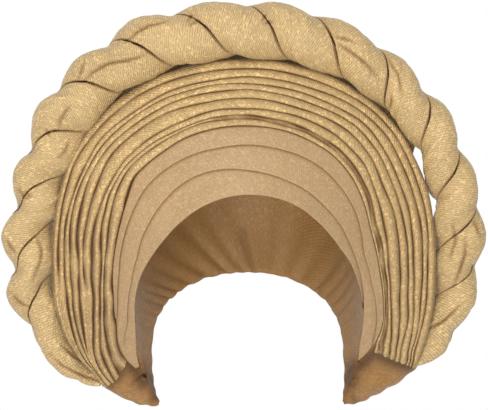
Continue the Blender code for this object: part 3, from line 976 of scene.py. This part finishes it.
# %% [markdown]
# ## The cloths
#
# The pleats and the braid are a ribbed cloth with a fine metallic thread, the folds are the
# same colour but smoother, and the cap shows its satin back. One recipe makes all four: two
# sets of threads from the UV map, specks where the metallic thread comes up, painted brighter
# as a glint, a slow change of colour over the piece, and painted shade in the creases.

# %% Cloth materials
def linear(red, green, blue):
    """A colour as it is picked on a screen, 0 to 255, in the values that the shader works in."""
    return [((x / 255 + 0.055) / 1.055) ** 2.4 for x in (red, green, blue)] + [1.0]


def sum_of(tree, kind, *values):
    made = tree.nodes.new("ShaderNodeMath")
    made.operation = kind
    for slot, value in zip(made.inputs, values):
        if isinstance(value, (int, float)):
            slot.default_value = value
        else:
            tree.links.new(value, slot)
    return made.outputs[0]


def blend_of(tree, share, first, second):
    made = tree.nodes.new("ShaderNodeMix")
    made.data_type = "RGBA"
    for slot, value in zip((made.inputs[0], made.inputs[6], made.inputs[7]), (share, first, second)):
        if isinstance(value, (list, float, int)):
            slot.default_value = value
        else:
            tree.links.new(value, slot)
    return made.outputs[2]


def toned(colour, factor):
    return [min(1.0, x * factor) for x in colour[:3]] + [1.0]


def threads(tree, value, gap):
    wave = sum_of(tree, "SINE", sum_of(tree, "MULTIPLY", value, 2 * math.pi / gap))
    return sum_of(tree, "MULTIPLY_ADD", wave, 0.5, 0.5)


def weave_of(tree, uv, slow, pitch, slant):
    """Two sets of threads that cross on a slant. The slow noise makes them wander."""
    split = tree.nodes.new("ShaderNodeSeparateXYZ")
    tree.links.new(uv.outputs[0], split.inputs[0])
    along, across = split.outputs[0], split.outputs[1]
    wobble = sum_of(tree, "MULTIPLY_ADD", slow.outputs["Fac"], pitch * 2, along)
    slope = sum_of(tree, "MULTIPLY", across, slant)
    one_way = threads(tree, sum_of(tree, "ADD", wobble, slope), pitch)
    other_way = threads(tree, sum_of(tree, "SUBTRACT", across, sum_of(
        tree, "MULTIPLY", wobble, slant)), pitch)
    return sum_of(tree, "MULTIPLY", one_way, sum_of(tree, "MULTIPLY_ADD", other_way, 0.65, 0.35))


def specks_of(tree, uv, size):
    """Bright specks, painted lighter as glints of the metallic thread, and dull ones, each in its own
    cells of one pattern.
    """
    cells = tree.nodes.new("ShaderNodeTexVoronoi")
    cells.inputs["Scale"].default_value = 1 / size
    tree.links.new(uv.outputs[0], cells.inputs["Vector"])
    parts = tree.nodes.new("ShaderNodeSeparateColor")
    tree.links.new(cells.outputs["Color"], parts.inputs[0])
    specks = []
    for part, least in ((0, 0.62), (1, 0.6)):
        chosen = tree.nodes.new("ShaderNodeMapRange")
        chosen.inputs["From Min"].default_value = least
        tree.links.new(parts.outputs[part], chosen.inputs[0])
        specks.append(chosen.outputs[0])
    return specks


def cloth(name, body, crease, pitch, slant, ribs, grain, relief, rough, shine):
    made = bpy.data.materials.new(name)
    made.use_nodes = True
    tree = made.node_tree
    shader = tree.nodes["Principled BSDF"]
    uv = tree.nodes.new("ShaderNodeUVMap")
    uv.uv_map = "cloth"
    place = tree.nodes.new("ShaderNodeTexCoord")
    slow = tree.nodes.new("ShaderNodeTexNoise")
    slow.inputs["Scale"].default_value = 26
    slow.inputs["Detail"].default_value = 5
    tree.links.new(place.outputs["Object"], slow.inputs["Vector"])
    weave = weave_of(tree, uv, slow, pitch, slant)
    glint, dull = specks_of(tree, uv, 0.7 * pitch)
    mark = tree.nodes.new("ShaderNodeAttribute")
    mark.attribute_name = "shade"

    tone = blend_of(tree, sum_of(tree, "MULTIPLY_ADD", slow.outputs["Fac"], 1.6, -0.3),
                    toned(body, 0.90), toned(body, 1.10))
    # The glint specks are a painted highlight of the metallic thread, where it also gets less rough;
    # the dull specks are grain.
    for share, factor in (
            (sum_of(tree, "MULTIPLY_ADD", weave, -ribs, ribs), 0.4),
            (sum_of(tree, "MULTIPLY", weave, 0.6 * ribs), 1.5),
            (sum_of(tree, "MULTIPLY", glint, grain), 1.7),
            (sum_of(tree, "MULTIPLY", dull, grain), 0.55)):
        tone = blend_of(tree, share, tone, toned(body, factor))
    # Painted shade: the shade mark blends the tone toward the crease colour.
    tone = blend_of(tree, sum_of(tree, "MULTIPLY", mark.outputs["Fac"], 0.9), tone, crease)
    tree.links.new(tone, shader.inputs["Base Color"])

    tree.links.new(sum_of(tree, "MULTIPLY_ADD", glint, -0.2, rough), shader.inputs["Roughness"])
    shader.inputs["Specular IOR Level"].default_value = shine
    shader.inputs["Sheen Weight"].default_value = 0.06
    shader.inputs["Sheen Roughness"].default_value = 0.4
    bump = tree.nodes.new("ShaderNodeBump")
    bump.inputs["Strength"].default_value = relief
    bump.inputs["Distance"].default_value = 0.0005
    tree.links.new(sum_of(tree, "MULTIPLY_ADD", glint, 0.5, weave), bump.inputs["Height"])
    tree.links.new(bump.outputs[0], shader.inputs["Normal"])
    print(name, "has", len(tree.nodes), "nodes")
    return made


# The second colour of each cloth is its painted shade colour. pleat_cloth and braid_cloth are copies
# of the one lurex cloth; the pleats' copy has a slightly different body and a darker shade colour, as
# painted shade.
pleat_cloth = cloth("pleat_cloth", linear(183, 152, 102), linear(102, 67, 28), pitch=0.0021,
                    slant=0.8, ribs=0.6, grain=0.62, relief=0.9, rough=0.5, shine=0.35)
braid_cloth = cloth("braid_cloth", linear(182, 154, 106), linear(114, 76, 34), pitch=0.0021,
                    slant=0.15, ribs=0.6, grain=0.52, relief=0.9, rough=0.5, shine=0.35)
fold_cloth = cloth("fold_cloth", linear(152, 124, 88), linear(136, 98, 58), pitch=0.0015,
                   slant=0.5, ribs=0.3, grain=0.35, relief=0.3, rough=0.55, shine=0.35)
# The satin's darker body is partly the wrong side of the cloth and partly painted shade of the
# corners, which lie in shadow under the pleats.
satin = cloth("cap_satin", linear(134, 99, 57), linear(70, 44, 19), pitch=0.0015,
              slant=0.5, ribs=0.3, grain=0.4, relief=0.3, rough=0.5, shine=0.2)

# %% [markdown]
# ## Dress the frame
#
# Each cloth piece takes the place of its CAD solid and rides on the one body.

# %% Dress
SHEETS = (
    (cap, "head_cap", "cap_satin", satin),
    (folds[0], "front_fold_inner", "fold_cloth", fold_cloth),
    (folds[1], "front_fold_middle", "fold_cloth", fold_cloth),
    (folds[2], "front_fold_outer", "fold_cloth", fold_cloth),
    (halo, "pleated_halo", "lurex_cloth", pleat_cloth),
    (rolls[0], "braid_roll_a", "lurex_cloth", braid_cloth),
    (rolls[1], "braid_roll_b", "lurex_cloth", braid_cloth),
)
for piece, node, slot, finish in SHEETS:
    piece.data.materials.append(finish)
    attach(piece, "root")
    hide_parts(node)
    surface = sum(face.area for face in piece.data.polygons)
    print(piece.name, "surface, square metres:", round(surface, 4))

# %% [markdown]
# ## Studio
#
# A plain pale floor, a pale surrounding, one large soft light from above and one on each side.

# %% Studio
bpy.context.scene.view_settings.view_transform = "Standard"
ground = bmesh.new()
bmesh.ops.create_grid(ground, x_segments=1, y_segments=1, size=30)
bmesh.ops.translate(ground, vec=(0, 0, -1.3), verts=ground.verts)
floor = bpy.data.objects.new("floor", bpy.data.meshes.new("floor"))
ground.to_mesh(floor.data)
ground.free()
bpy.context.scene.collection.objects.link(floor)
pale = bpy.data.materials.new("pale_floor")
pale.use_nodes = True
pale.node_tree.nodes["Principled BSDF"].inputs["Base Color"].default_value = (0.75, 0.75, 0.74, 1)
pale.node_tree.nodes["Principled BSDF"].inputs["Roughness"].default_value = 0.9
floor.data.materials.append(pale)


def soft_light(name, place, size, power):
    lamp = bpy.data.objects.new(name, bpy.data.lights.new(name, "AREA"))
    lamp.data.shape, lamp.data.size, lamp.data.energy = "DISK", size, power
    lamp.location = place
    lamp.rotation_euler = (AIM - Vector(place)).to_track_quat("-Z", "Y").to_euler()
    bpy.context.scene.collection.objects.link(lamp)


soft_light("top_light", (-0.5, -1.7, 1.8), 1.4, 28)
soft_light("left_light", (-0.9, -2.3, -0.9), 1.0, 42)
soft_light("right_light", (0.8, -2.2, -1.0), 1.0, 20)
room = bpy.context.scene.world or bpy.data.worlds.new("room")
bpy.context.scene.world = room
room.use_nodes = True
room.node_tree.nodes["Background"].inputs[0].default_value = (1, 1, 1, 1)
room.node_tree.nodes["Background"].inputs[1].default_value = 1.0
